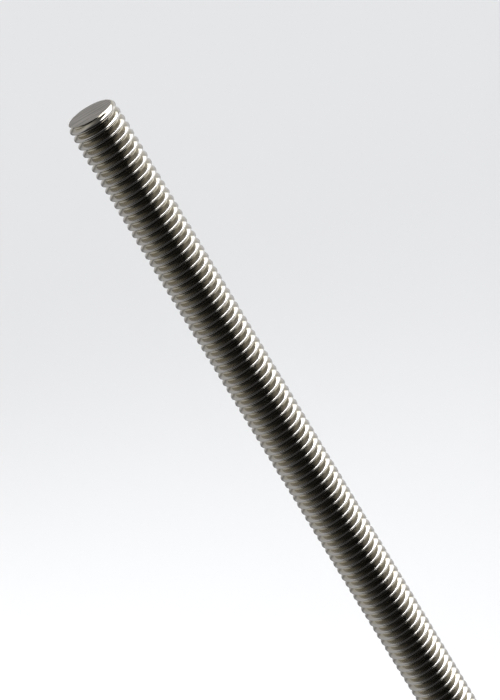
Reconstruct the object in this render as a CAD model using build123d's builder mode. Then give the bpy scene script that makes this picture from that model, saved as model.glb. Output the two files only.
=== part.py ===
"""Fully threaded steel rod, coarse 8 mm metric thread, right-hand, with square chamfered ends.

The rod stands on its lower end: Z is its axis, and the origin is the middle of that end.
The thread is one band of flat facets that climbs a pitch with each turn. The corners of the
facets lie on three helices, the root and the two edges of the crest, so the thread really winds
round the rod.
"""

from build123d import *
from math import asin, ceil, cos, pi, radians, sin
import os

# Driving dimensions, in millimetres and degrees
rod_length = 120.0
major_diameter = 7.76
pitch = 1.25
end_chamfer = 0.36
thread_start_angle = 105.0

# The first turns at each end are not formed to full height: how far the crest drops, over what length
lead_drop = 0.17
lead_length = 1.9

# Thread depth from crest to root and width of the crest, as shares of the pitch
thread_depth_share = 0.6134
crest_width_share = 0.125

# Facets along one turn of the thread
facets_per_turn = 18

# Threaded length made past each end before the rod is cut, and room outside the crest for that cut
overrun_turns = 2
cut_clearance = 0.05

crest_radius = major_diameter / 2
root_radius = crest_radius - thread_depth_share * pitch
crest_width = crest_width_share * pitch
flank_rise = (pitch - crest_width) / 2
lead_radius = crest_radius - lead_drop
end_radius = lead_radius - end_chamfer
cut_radius = crest_radius + cut_clearance
overrun = overrun_turns * pitch
climb_per_radian = pitch / (2 * pi)

# A flank facet is flat when its crest corners stand a little further round than its root corners.
# That lead and the angle that a facet spans depend on each other, and settle in a few rounds.
settling_rounds = 12
crest_lead = 0.0
for _ in range(settling_rounds):
    facet_angle = 2 * (pi + crest_lead) / facets_per_turn
    gap_squared = root_radius**2 + crest_radius**2 - 2 * root_radius * crest_radius * cos(crest_lead)
    climb = climb_per_radian * facet_angle * cos(facet_angle / 2) * gap_squared
    swing = 2 * root_radius * crest_radius * sin(facet_angle / 2)
    crest_lead = asin(climb / (swing * (flank_rise + climb_per_radian * crest_lead)))

# The thread starts below the lower end, where the middle of its crest has the start angle at the end itself
first_root_angle = radians(thread_start_angle) - 2 * pi * overrun_turns
facet_count = ceil((rod_length + 2 * overrun) / (climb_per_radian * facet_angle))


def helix_point(radius, angle, rise):
    """The point of a helix at an angle from the thread's start, a rise above the root helix."""
    height = climb_per_radian * angle + rise - pitch / 2 - overrun
    turned = angle + first_root_angle
    return Vector(radius * cos(turned), radius * sin(turned), height)


def root_corner(index):
    """A facet corner on the root helix."""
    return helix_point(root_radius, index * facet_angle, 0)


def crest_corner(index, across):
    """A facet corner on the crest, a distance across it from its lower edge."""
    return helix_point(crest_radius, index * facet_angle + crest_lead, flank_rise + across)


def facet(*corners):
    """A flat face between corners."""
    return Face(Wire.make_polygon(corners))


def step_facets(index):
    """The three facets of one step along the thread: the flank below the crest, the crest, the flank above."""
    below = (root_corner(index), root_corner(index + 1))
    lower_edge = (crest_corner(index + 1, 0), crest_corner(index, 0))
    upper_edge = (crest_corner(index + 1, crest_width), crest_corner(index, crest_width))
    above = (root_corner(index + facets_per_turn), root_corner(index + facets_per_turn + 1))
    return [facet(*below, *lower_edge), facet(*reversed(lower_edge), *upper_edge), facet(*above, *upper_edge)]


def closing_facets(first_index, tip_height):
    """Facets that close the thread beyond an end of the rod: a fan to the axis and the last step."""
    tip = Vector(0, 0, tip_height)
    rim = [root_corner(first_index + step) for step in range(facets_per_turn + 1)]
    fan = [facet(tip, near, far) for near, far in zip(rim, rim[1:] + rim[:1])]
    lower_edge = crest_corner(first_index, 0)
    upper_edge = crest_corner(first_index, crest_width)
    return fan + [facet(rim[0], lower_edge, upper_edge), facet(rim[0], upper_edge, rim[-1])]


# Thread over the rod's length and past both ends
lowest = root_corner(0).Z - pitch
highest = root_corner(facet_count + facets_per_turn).Z + pitch
thread_faces = closing_facets(0, lowest) + closing_facets(facet_count, highest)
for facet_index in range(facet_count):
    thread_faces += step_facets(facet_index)
thread = Solid(Shell(thread_faces))

# Rod cut to length from the thread, with a chamfer and a slight taper of the first turns at each end
with BuildPart() as threaded_rod:
    add(thread)
    with BuildSketch(Plane.XZ) as cut_section:
        with BuildLine():
            Polyline(
                (0, 0),
                (end_radius, 0),
                (lead_radius, end_chamfer),
                (crest_radius, lead_length),
                (cut_radius, lead_length),
                (cut_radius, rod_length - lead_length),
                (crest_radius, rod_length - lead_length),
                (lead_radius, rod_length - end_chamfer),
                (end_radius, rod_length),
                (0, rod_length),
                close=True,
            )
        make_face()
    revolve(axis=Axis.Z, mode=Mode.INTERSECT)
threaded_rod.part.label = "threaded_rod"

os.makedirs("parts", exist_ok=True)
export_step(threaded_rod.part, "parts/threaded_rod.step")
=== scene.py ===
"""Looks of a fully threaded steel rod: a fine rolled thread, its finish, the floor, light and camera."""

from collections import namedtuple
from math import ceil, cos, pi, radians, sin, tan

import bmesh
import bpy
import numpy as np
from mathutils import Matrix, Vector


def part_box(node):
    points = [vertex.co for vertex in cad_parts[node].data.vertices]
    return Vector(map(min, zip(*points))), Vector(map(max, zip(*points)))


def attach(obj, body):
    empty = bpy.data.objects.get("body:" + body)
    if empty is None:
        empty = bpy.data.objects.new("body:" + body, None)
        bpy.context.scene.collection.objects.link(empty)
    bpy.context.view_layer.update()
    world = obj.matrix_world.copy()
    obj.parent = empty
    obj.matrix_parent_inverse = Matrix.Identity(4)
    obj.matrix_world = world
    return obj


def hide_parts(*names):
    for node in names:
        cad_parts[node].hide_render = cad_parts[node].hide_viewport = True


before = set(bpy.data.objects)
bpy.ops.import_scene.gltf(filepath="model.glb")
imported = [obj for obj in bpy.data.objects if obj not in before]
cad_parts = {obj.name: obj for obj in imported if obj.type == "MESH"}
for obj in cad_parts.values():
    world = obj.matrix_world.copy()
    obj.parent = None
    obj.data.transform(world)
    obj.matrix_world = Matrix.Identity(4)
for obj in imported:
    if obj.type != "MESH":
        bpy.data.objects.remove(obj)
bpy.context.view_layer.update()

# The rod, in metres: its size comes from the frame, its thread is the part's own
node_name = "threaded_rod"
body_name = "root"
piece_name = "threaded_rod_finished"
rod_low, rod_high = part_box(node_name)
low_end = rod_low[2]
high_end = rod_high[2]
rod_length = high_end - low_end
crest_radius = (rod_high[0] - rod_low[0]) / 2
pitch = 0.00125
end_chamfer = 0.00036
lead_drop = 0.00014
lead_length = 0.0019
thread_start_angle = radians(105)

# Section of the thread, as shares of the pitch: the crest is at phase 0 and the root half a pitch on
flank_angle = radians(60)
root_phase = 0.5
thread_depth_share = 0.6134
crest_round_share = 0.10825
root_round_share = 0.1443
crest_edge = crest_round_share * sin(flank_angle)
root_edge = root_phase - root_round_share * sin(flank_angle)
thread_depth = thread_depth_share * pitch

# How softly the rod's edges turn
edge_softness = 0.00012
lead_softness = 0.0002
rim_round = 0.00005

# How finely the rod is drawn: round it, over half a crest, half a root and a flank, and at the rims
columns = 60
crest_steps = 3
root_steps = 3
flank_steps = 2
rim_level_shares = (0.12, 0.4, 1.0)

# The rod starts as a tube of this radius, with a few turns past each end, and is cut to length
tube_radius = 1
spare_turns = 2
cut_tolerance = 0.0000001
merge_distance = 0.000000001

# Places of the two materials on the rod
rolled_index = 0
sawn_index = 1

# Rolled steel: the steel's own colour on the crests, and a darker, warmer painted shade in the grooves that
# deepens inward and is made uneven by a grain
crest_colour = (0.62, 0.6, 0.575, 1)
groove_painted_shade_colour = (0.56, 0.52, 0.43, 1)
groove_start_share = 0.1
groove_end_share = 0.6
shade_grain_scale = 700
shade_grain_detail = 3
shade_grain_limits = (0.25, 0.6)
shade_grain_strengths = (0.6, 1)

# Marks that run with the thread, with their depth in metres
streak_scale = 3
streak_detail = 3
streak_limits = (0.3, 0.7)
streak_roughness = (0.085, 0.14)
streak_depth = 0.0000006

# Sawn ends: marks that are long along X and fine along Y, with their scales per metre
sawn_colour = (0.56, 0.535, 0.505, 1)
sawn_shade = (0.32, 0.3, 0.275, 1)
mark_scale_x = 150
mark_scale_y = 2000
mark_detail = 3
mark_shade_limits = (0.35, 0.65)
mark_limits = (0.3, 0.7)
mark_roughness = (0.36, 0.5)
mark_depth = 0.00003

# Floor, and the lamp that lights it
floor_size = 12
floor_colour = (0.672, 0.677, 0.687, 1)
floor_roughness = 0.8
lamp_place = (-0.1, 0.8, 1.5)
lamp_target = (-0.4, -0.26, 0)
lamp_cone = radians(39)
lamp_radius = 0.05
lamp_power = 125

# Room that the metal mirrors: soft ovals of light around a dark front. Azimuth runs from the front to the
# right, width and height are half angles as seen from the rod, and edge is the share of them that fades.
SoftBox = namedtuple("SoftBox", "azimuth elevation width height tilt edge strength")
room_colour = (1, 1, 1, 1)
room_light = 0.006
lamps_high_on_the_right = (
    SoftBox(azimuth=86, elevation=56, width=31, height=17, tilt=-10, edge=0.25, strength=6.2),
    SoftBox(azimuth=136, elevation=48, width=22, height=12, tilt=-32, edge=0.25, strength=2.8),
)
wall_and_table_on_the_right = (
    SoftBox(azimuth=96, elevation=8, width=33, height=14, tilt=30, edge=0.3, strength=1.05),
    SoftBox(azimuth=94, elevation=-25, width=36, height=13, tilt=0, edge=0.6, strength=0.42),
    SoftBox(azimuth=110, elevation=-53, width=40, height=23, tilt=15, edge=0.3, strength=1.4),
    SoftBox(azimuth=140, elevation=8, width=36, height=22, tilt=10, edge=0.6, strength=0.78),
    SoftBox(azimuth=124, elevation=-20, width=14, height=14, tilt=0, edge=0.4, strength=1.0),
)
wall_behind = (
    SoftBox(azimuth=-174, elevation=-3, width=20, height=14, tilt=0, edge=0.5, strength=0.5),
)
wall_and_table_on_the_left = (
    SoftBox(azimuth=-122, elevation=33, width=45, height=35, tilt=-45, edge=0.3, strength=0.48),
    SoftBox(azimuth=-106, elevation=-43, width=36, height=30, tilt=-48, edge=0.8, strength=0.54),
)
ceiling = (
    SoftBox(azimuth=0, elevation=75, width=45, height=35, tilt=0, edge=0.9, strength=0.1),
)
soft_boxes = (
    lamps_high_on_the_right
    + wall_and_table_on_the_right
    + wall_behind
    + wall_and_table_on_the_left
    + ceiling
)

# Camera, in metres, with the focal length and the place of the rod's upper end in pixels of the picture
picture_width = 500
picture_height = 700
focal_pixels = 3329
camera_elevation = radians(22.45)
camera_roll = radians(-31.21)
end_pixel = (90.05, 113.55)
end_distance = 0.4574
sensor_size = 36
clip_start = 0.01


def profile_depth(phase):
    """Depth below the crest at a phase of the thread, both in pitches."""
    across = np.abs(phase - np.round(phase))
    crest_arc = crest_round_share - np.sqrt(np.maximum(crest_round_share**2 - across**2, 0))
    from_root = np.minimum(root_phase - across, root_round_share)
    root_arc = thread_depth_share - root_round_share + np.sqrt(root_round_share**2 - from_root**2)
    flank = crest_round_share * (1 - cos(flank_angle)) + (across - crest_edge) * tan(flank_angle)
    return np.where(across < crest_edge, crest_arc, np.where(across > root_edge, root_arc, flank))


def profile_phases():
    """Phases, from one crest to the next, at which a turn of the thread is drawn."""
    crest = crest_round_share * np.sin(np.linspace(0, flank_angle, crest_steps + 1))
    flank = np.linspace(crest_edge, root_edge, flank_steps + 1)
    root = root_phase - root_round_share * np.sin(np.linspace(flank_angle, 0, root_steps + 1))
    falling = np.concatenate((crest[:-1], flank[:-1], root))
    rising = 1 - falling[-2:0:-1]
    return np.concatenate((falling, rising))


def soft_least(first, second, softness):
    """The smaller of two lengths, with a rounded change from one to the other."""
    near = np.clip(0.5 + 0.5 * (second - first) / softness, 0, 1)
    return second + (first - second) * near - softness * near * (1 - near)


def rod_radius(angle, height):
    """Radius of the finished rod: the thread, lowered over its first turns and cut by chamfers and rims."""
    phase = height / pitch - (angle - thread_start_angle) / (2 * pi)
    thread = crest_radius - pitch * profile_depth(phase)
    from_end = np.minimum(height - low_end, high_end - height)
    lead_radius = crest_radius - lead_drop
    lead_slope = lead_drop / (lead_length - end_chamfer)
    lead = lead_radius + (from_end - end_chamfer) * lead_slope
    chamfer = lead_radius - end_chamfer + from_end
    from_rim = np.clip(rim_round - from_end, 0, rim_round)
    rim_cut = rim_round - np.sqrt(np.maximum(rim_round**2 - from_rim**2, 0))
    lowered = soft_least(thread, lead, lead_softness)
    return soft_least(lowered, chamfer, edge_softness) - rim_cut


def rod_normals(angle, height):
    """Outward directions of the rod's surface, from how its radius changes."""
    step_angle = 0.0005
    step_height = 0.000001
    before = rod_radius(angle - step_angle, height)
    after = rod_radius(angle + step_angle, height)
    by_angle = (after - before) / (2 * step_angle)
    low = np.maximum(height - step_height, low_end)
    high = np.minimum(height + step_height, high_end)
    by_height = (rod_radius(angle, high) - rod_radius(angle, low)) / (high - low)
    around = by_angle / rod_radius(angle, height)
    x = np.cos(angle) + around * np.sin(angle)
    y = np.sin(angle) - around * np.cos(angle)
    normals = np.stack((x, y, -by_height), axis=-1)
    return normals / np.linalg.norm(normals, axis=-1, keepdims=True)


def thread_grid():
    """Corners and faces of a long tube whose rows climb one pitch with each turn."""
    phases = profile_phases()
    rows = len(phases)
    turns = ceil(rod_length / pitch) + 2 * spare_turns
    levels = (np.arange(turns)[:, None] + phases[None, :]).ravel() - spare_turns
    angles = np.arange(columns) * 2 * pi / columns
    climbs = (angles - thread_start_angle) / (2 * pi)
    heights = low_end + pitch * (levels[:, None] + climbs[None, :])
    angle_grid = np.broadcast_to(angles, heights.shape)
    x = tube_radius * np.cos(angle_grid)
    y = tube_radius * np.sin(angle_grid)
    corners = np.stack((x, y, heights), axis=-1).reshape(-1, 3)
    faces = []
    for row in range(len(levels) - rows - 1):
        for column in range(columns):
            after = (column + 1) % columns
            climbed = row + rows if after == 0 else row
            here = row * columns + column
            beside = climbed * columns + after
            faces.append((here, beside, beside + columns, here + columns))
    return corners, faces


def cut_across(shape, height, outward, clear):
    """Cuts a mesh square at a height, and clears what lies further outward if asked to."""
    bmesh.ops.bisect_plane(
        shape,
        geom=shape.verts[:] + shape.edges[:] + shape.faces[:],
        dist=merge_distance,
        plane_co=(0, 0, height),
        plane_no=(0, 0, outward),
        clear_outer=clear,
    )


def cut_to_length(mesh_data):
    """Cuts the tube square at both ends, with extra rings for the rounded rims, and closes it."""
    shape = bmesh.new()
    shape.from_mesh(mesh_data)
    for end, outward in ((low_end, -1), (high_end, 1)):
        for share in rim_level_shares:
            cut_across(shape, end - outward * rim_round * share, outward, clear=False)
        cut_across(shape, end, outward, clear=True)
        rim = [
            edge
            for edge in shape.edges
            if edge.is_boundary and abs(edge.verts[0].co.z - end) < cut_tolerance
        ]
        closed = bmesh.ops.edgeloop_fill(shape, edges=rim)
        bmesh.ops.poke(shape, faces=closed["faces"])
    bmesh.ops.recalc_face_normals(shape, faces=shape.faces[:])
    shape.to_mesh(mesh_data)
    shape.free()


def finish_faces(mesh_data, heights, normals, end_middles):
    """Gives each face its material, and each of its corners the exact direction of the surface."""
    half_height = (low_end + high_end) / 2
    corner_normals = np.empty((len(mesh_data.loops), 3))
    for polygon in mesh_data.polygons:
        polygon.use_smooth = True
        is_end = any(vertex in end_middles for vertex in polygon.vertices)
        polygon.material_index = sawn_index if is_end else rolled_index
        for corner in polygon.loop_indices:
            vertex = mesh_data.loops[corner].vertex_index
            if is_end:
                corner_normals[corner] = (0, 0, 1 if heights[vertex] > half_height else -1)
            else:
                corner_normals[corner] = normals[vertex]
    mesh_data.normals_split_custom_set(corner_normals.tolist())


def make_rod():
    """The rod as one closed mesh with its exact surface directions."""
    corners, faces = thread_grid()
    mesh_data = bpy.data.meshes.new(piece_name)
    mesh_data.from_pydata(corners.tolist(), [], faces)
    cut_to_length(mesh_data)
    points = np.empty(len(mesh_data.vertices) * 3)
    mesh_data.vertices.foreach_get("co", points)
    points = points.reshape(-1, 3)
    heights = points[:, 2]
    angle = np.arctan2(points[:, 1], points[:, 0])
    on_axis = np.hypot(points[:, 0], points[:, 1]) < tube_radius / 2
    radius = np.where(on_axis, 0, rod_radius(angle, heights))
    points[:, 0] = radius * np.cos(angle)
    points[:, 1] = radius * np.sin(angle)
    mesh_data.vertices.foreach_set("co", points.ravel())
    end_middles = set(np.nonzero(on_axis)[0].tolist())
    finish_faces(mesh_data, heights, rod_normals(angle, heights), end_middles)
    rod = bpy.data.objects.new(piece_name, mesh_data)
    bpy.context.collection.objects.link(rod)
    return rod


def feed(tree, socket, value):
    """Links a value to a socket if it comes from a node, and otherwise sets it there."""
    if isinstance(value, bpy.types.NodeSocket):
        tree.links.new(value, socket)
    else:
        socket.default_value = value


def calculate(tree, operation, *values):
    """One step of arithmetic on numbers."""
    node = tree.nodes.new("ShaderNodeMath")
    node.operation = operation
    for socket, value in zip(node.inputs, values):
        feed(tree, socket, value)
    return node.outputs["Value"]


def along(tree, direction, axis):
    """How far a direction reaches along an axis."""
    node = tree.nodes.new("ShaderNodeVectorMath")
    node.operation = "DOT_PRODUCT"
    feed(tree, node.inputs[0], direction)
    feed(tree, node.inputs[1], axis)
    return node.outputs["Value"]


def split(tree, vector):
    """The three numbers of a vector."""
    node = tree.nodes.new("ShaderNodeSeparateXYZ")
    feed(tree, node.inputs["Vector"], vector)
    return node.outputs


def combine(tree, x, y, z):
    """A vector from three numbers."""
    node = tree.nodes.new("ShaderNodeCombineXYZ")
    for socket, value in zip(node.inputs, (x, y, z)):
        feed(tree, socket, value)
    return node.outputs["Vector"]


def ramp(tree, value, limits, results):
    """A number that changes smoothly between two results while a value goes between two limits."""
    node = tree.nodes.new("ShaderNodeMapRange")
    node.interpolation_type = "SMOOTHSTEP"
    names = ("Value", "From Min", "From Max", "To Min", "To Max")
    for name, number in zip(names, (value, *limits, *results)):
        feed(tree, node.inputs[name], number)
    return node.outputs["Result"]


def blend(tree, share, first, second):
    """A colour between two, by a share."""
    node = tree.nodes.new("ShaderNodeMix")
    node.data_type = "RGBA"
    feed(tree, node.inputs["Factor"], share)
    feed(tree, node.inputs["A"], first)
    feed(tree, node.inputs["B"], second)
    return node.outputs["Result"]


def grain(tree, vector, scale, detail):
    """Uneven grain, as numbers around a half."""
    node = tree.nodes.new("ShaderNodeTexNoise")
    feed(tree, node.inputs["Vector"], vector)
    node.inputs["Scale"].default_value = scale
    node.inputs["Detail"].default_value = detail
    return node.outputs["Fac"]


def bump(tree, height, depth):
    """Surface directions of a fine relief whose height runs from 0 to 1, a depth in metres."""
    node = tree.nodes.new("ShaderNodeBump")
    feed(tree, node.inputs["Height"], height)
    node.inputs["Distance"].default_value = depth
    return node.outputs["Normal"]


def steel(name):
    """A bare metal with nothing on it yet: its material, node tree, shader and place on the rod."""
    material = bpy.data.materials.new(name)
    material.use_nodes = True
    tree = material.node_tree
    shader = tree.nodes["Principled BSDF"]
    shader.inputs["Metallic"].default_value = 1
    place = tree.nodes.new("ShaderNodeTexCoord").outputs["Object"]
    return material, tree, shader, place


def rolled_steel():
    """Thread-rolled steel: bright crests, painted shade that darkens and warms the grooves, and fine marks
    that run with the thread.
    """
    material, tree, shader, place = steel("rolled_steel")
    x, y, z = split(tree, place)
    x_square = calculate(tree, "MULTIPLY", x, x)
    y_square = calculate(tree, "MULTIPLY", y, y)
    radius = calculate(tree, "SQRT", calculate(tree, "ADD", x_square, y_square))
    turn = calculate(tree, "DIVIDE", calculate(tree, "ARCTAN2", y, x), 2 * pi)
    pitches_up = calculate(tree, "DIVIDE", z, pitch)
    phase_angle = calculate(tree, "MULTIPLY", calculate(tree, "SUBTRACT", pitches_up, turn), 2 * pi)
    phase_cosine = calculate(tree, "COSINE", phase_angle)
    phase_sine = calculate(tree, "SINE", phase_angle)
    with_thread = combine(tree, phase_cosine, phase_sine, pitches_up)
    streaks = grain(tree, with_thread, streak_scale, streak_detail)
    # Painted shade: the grooves get a darker, warmer colour the deeper they are, made uneven by a grain
    shade_grain = grain(tree, place, shade_grain_scale, shade_grain_detail)
    groove_start = crest_radius - groove_start_share * thread_depth
    groove_end = crest_radius - groove_end_share * thread_depth
    groove_shade_mask = ramp(tree, radius, (groove_start, groove_end), (0, 1))
    painted_groove_shade = calculate(tree, "MULTIPLY", groove_shade_mask, ramp(tree, shade_grain, shade_grain_limits, shade_grain_strengths))
    feed(tree, shader.inputs["Base Color"], blend(tree, painted_groove_shade, crest_colour, groove_painted_shade_colour))
    feed(tree, shader.inputs["Roughness"], ramp(tree, streaks, streak_limits, streak_roughness))
    feed(tree, shader.inputs["Normal"], bump(tree, streaks, streak_depth))
    return material


def sawn_steel():
    """The cut ends: fine, slightly wavy saw marks, all one way."""
    material, tree, shader, place = steel("sawn_steel")
    x, y, _ = split(tree, place)
    mark_x = calculate(tree, "MULTIPLY", x, mark_scale_x)
    mark_y = calculate(tree, "MULTIPLY", y, mark_scale_y)
    marks = grain(tree, combine(tree, mark_x, mark_y, 0), 1, mark_detail)
    shade = ramp(tree, marks, mark_shade_limits, (0, 1))
    feed(tree, shader.inputs["Base Color"], blend(tree, shade, sawn_colour, sawn_shade))
    feed(tree, shader.inputs["Roughness"], ramp(tree, marks, mark_limits, mark_roughness))
    feed(tree, shader.inputs["Normal"], bump(tree, marks, mark_depth))
    return material


def make_floor():
    """A wide pale floor under the rod, which the metal doesn't mirror."""
    bpy.ops.mesh.primitive_plane_add(size=floor_size, location=(0, 0, low_end))
    floor = bpy.context.object
    floor.name = "floor"
    floor.visible_glossy = False
    floor.visible_shadow = False
    material = bpy.data.materials.new("pale_floor")
    material.use_nodes = True
    shader = material.node_tree.nodes["Principled BSDF"]
    shader.inputs["Base Color"].default_value = floor_colour
    shader.inputs["Roughness"].default_value = floor_roughness
    shader.inputs["Specular IOR Level"].default_value = 0
    floor.data.materials.append(material)


def make_lamp():
    """A lamp that throws a soft pool of light on the floor, and that the metal doesn't mirror."""
    data = bpy.data.lights.new("floor_lamp", "SPOT")
    data.energy = lamp_power
    data.spot_size = lamp_cone
    data.spot_blend = 1
    data.shadow_soft_size = lamp_radius
    lamp = bpy.data.objects.new("floor_lamp", data)
    bpy.context.collection.objects.link(lamp)
    lamp.location = lamp_place
    lamp.rotation_euler = (Vector(lamp_target) - Vector(lamp_place)).to_track_quat("-Z", "Y").to_euler()
    lamp.visible_glossy = False


def box_light(tree, direction, box):
    """Light of a soft box far away, an oval with a fading edge."""
    azimuth = radians(box.azimuth)
    elevation = radians(box.elevation)
    tilt = radians(box.tilt)
    middle = Vector((sin(azimuth) * cos(elevation), -cos(azimuth) * cos(elevation), sin(elevation)))
    side = Vector((cos(azimuth), sin(azimuth), 0))
    upward = middle.cross(side)
    wide = (side * cos(tilt) + upward * sin(tilt)) / sin(radians(box.width))
    tall = (upward * cos(tilt) - side * sin(tilt)) / sin(radians(box.height))
    across = calculate(tree, "POWER", along(tree, direction, wide), 2)
    above = calculate(tree, "POWER", along(tree, direction, tall), 2)
    reach = calculate(tree, "SQRT", calculate(tree, "ADD", across, above))
    light = ramp(tree, reach, (1 - box.edge, 1 + box.edge), (box.strength, 0))
    facing = calculate(tree, "GREATER_THAN", along(tree, direction, middle), 0)
    return calculate(tree, "MULTIPLY", light, facing)


def make_room():
    """Surroundings that the metal mirrors: the soft boxes, and a little light from everywhere."""
    world = bpy.data.worlds.new("room")
    bpy.context.scene.world = world
    world.use_nodes = True
    tree = world.node_tree
    direction = tree.nodes.new("ShaderNodeTexCoord").outputs["Generated"]
    light = room_light
    for box in soft_boxes:
        light = calculate(tree, "ADD", box_light(tree, direction, box), light)
    background = tree.nodes["Background"]
    background.inputs["Color"].default_value = room_colour
    feed(tree, background.inputs["Strength"], light)


def make_camera():
    """Camera at the photograph's angle, with the rod's upper end on its pixel."""
    back = Vector((0, -cos(camera_elevation), sin(camera_elevation)))
    level_right = Vector((1, 0, 0))
    level_up = Vector((0, sin(camera_elevation), cos(camera_elevation)))
    right = level_right * cos(camera_roll) + level_up * sin(camera_roll)
    up = level_up * cos(camera_roll) - level_right * sin(camera_roll)
    across = (end_pixel[0] - picture_width / 2) / focal_pixels * end_distance
    above = (picture_height / 2 - end_pixel[1]) / focal_pixels * end_distance
    rod_end = Vector((0, 0, high_end))
    place = rod_end - right * across - up * above + back * end_distance
    data = bpy.data.cameras.new("camera")
    data.sensor_width = sensor_size
    data.lens = focal_pixels / picture_height * sensor_size
    data.clip_start = clip_start
    camera = bpy.data.objects.new("camera", data)
    bpy.context.collection.objects.link(camera)
    turn = Matrix((right, up, back)).transposed().to_4x4()
    camera.matrix_world = Matrix.Translation(place) @ turn
    bpy.context.scene.camera = camera


rod = make_rod()
rod.data.materials.append(rolled_steel())
rod.data.materials.append(sawn_steel())
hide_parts(node_name)
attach(rod, body_name)

make_floor()
make_lamp()
make_room()
make_camera()
bpy.context.scene.view_settings.view_transform = "Standard"
